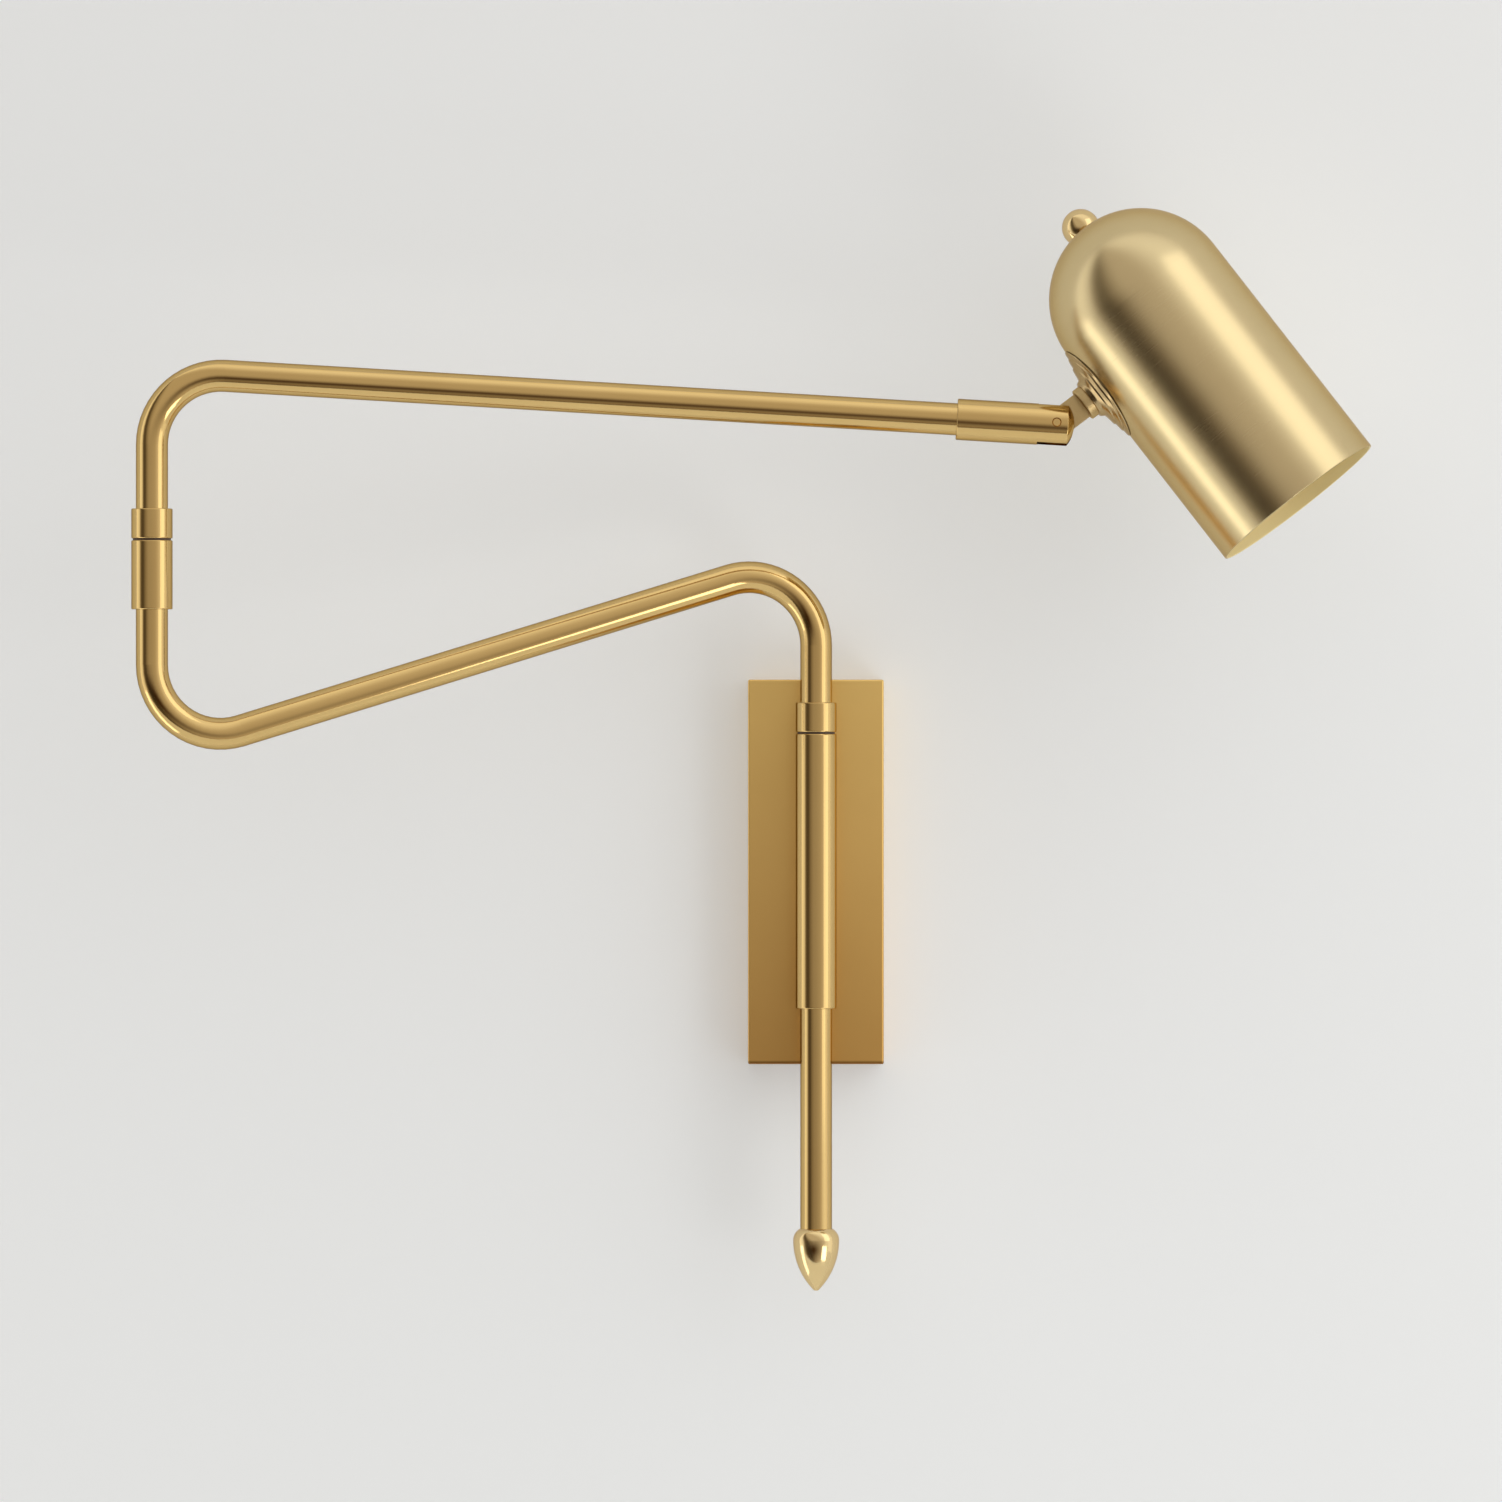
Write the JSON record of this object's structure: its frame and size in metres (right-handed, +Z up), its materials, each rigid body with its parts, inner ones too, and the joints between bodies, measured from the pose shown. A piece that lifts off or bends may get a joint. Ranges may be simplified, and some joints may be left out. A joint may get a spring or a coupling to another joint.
{
  "type": "adjustable wall lamp",
  "caption": "Satin brass swing-arm wall lamp: tall wall box, swivel stem with pointed finial, bent double arm, slotted knuckle and a bullet shade that aims the light",
  "frame": {"origin": "centre of the wall box's back, on the wall, midway between the wall screws", "axes": "+X right as seen from the room, +Y into the wall, +Z up"},
  "size_m": [0.5388, 0.143, 0.4753],
  "materials": {
    "satin_brass": "satin, brushed along the shade",
    "tube_brass": "satin to polished, drawn along the tube",
    "polished_brass": "polished",
    "zinc_steel": "zinc plated",
    "dark_steel": "blackened",
    "dark_washer": "matt",
    "terminal_white": "matt",
    "moulded_black": "matt moulded",
    "lead_sheath": "matt",
    "cap_metal": "nickel",
    "opal_glass": "opal, satin"
  },
  "bodies": {
    "bracket": {"wall_plate": "zinc_steel", "box_cover": "satin_brass", "cover_screws": "dark_steel", "backing_plate": "zinc_steel", "upper_post": "tube_brass", "lower_post": "tube_brass", "post_washers": "zinc_steel", "post_nuts": "zinc_steel", "swivel_sleeve": "tube_brass", "shoulder_washer": "dark_washer", "terminal_block": "terminal_white", "earth_screw": "zinc_steel"},
    "lower_arm": {"lower_arm_tube": "tube_brass", "stem_collar": "tube_brass", "collar_screw": "dark_steel", "finial": "polished_brass", "elbow_sleeve": "tube_brass", "elbow_washer": "dark_washer", "elbow_spigot": "tube_brass", "lower_lead": "lead_sheath"},
    "upper_arm": {"upper_arm_tube": "tube_brass", "elbow_ring": "tube_brass", "elbow_screw": "dark_steel", "head_spigot": "tube_brass", "upper_lead": "lead_sheath"},
    "fork": {"ferrule": "tube_brass", "ferrule_screw": "dark_steel", "hinge_pin": "tube_brass", "hinge_washers": "dark_washer"},
    "head": {"knuckle": "tube_brass", "pivot_dish": "satin_brass", "dish_saddle": "zinc_steel", "inner_saddle": "zinc_steel", "pivot_nut": "zinc_steel", "shade": "satin_brass", "holder_strap": "zinc_steel", "lampholder": "moulded_black", "holder_nipple": "zinc_steel", "holder_nut": "zinc_steel", "bulb_cap": "cap_metal", "bulb_glass": "opal_glass", "switch_body": "moulded_black", "switch_nut": "tube_brass"},
    "knob": {"switch_knob": "polished_brass", "switch_spindle": "zinc_steel"}
  },
  "joints": [
    {"name": "shoulder_swivel", "type": "hinge", "parent": "bracket", "child": "lower_arm", "pos_m": [0, -0.041, 0], "axis": [0, 0, 1], "range_deg": [-10, 168]},
    {"name": "elbow_swivel", "type": "hinge", "parent": "lower_arm", "child": "upper_arm", "pos_m": [-0.28908, -0.09981, 0.13], "axis": [0, 0, 1], "range_deg": [-168, 168]},
    {"name": "head_roll", "type": "hinge", "parent": "upper_arm", "child": "fork", "pos_m": [0.10392, -0.09981, 0.19505], "axis": [0.9982, 0, -0.0593], "range_deg": [-160, 160]},
    {"name": "head_tilt", "type": "hinge", "parent": "fork", "child": "head", "pos_m": [0.10392, -0.09981, 0.19505], "axis": [0.0072, -0.9925, 0.1217], "range_deg": [-100, 45]},
    {"name": "switch_turn", "type": "hinge", "parent": "head", "child": "knob", "pos_m": [0.14101, -0.09283, 0.24981], "axis": [-0.489, 0.5919, 0.6407], "continuous": true}
  ]
}
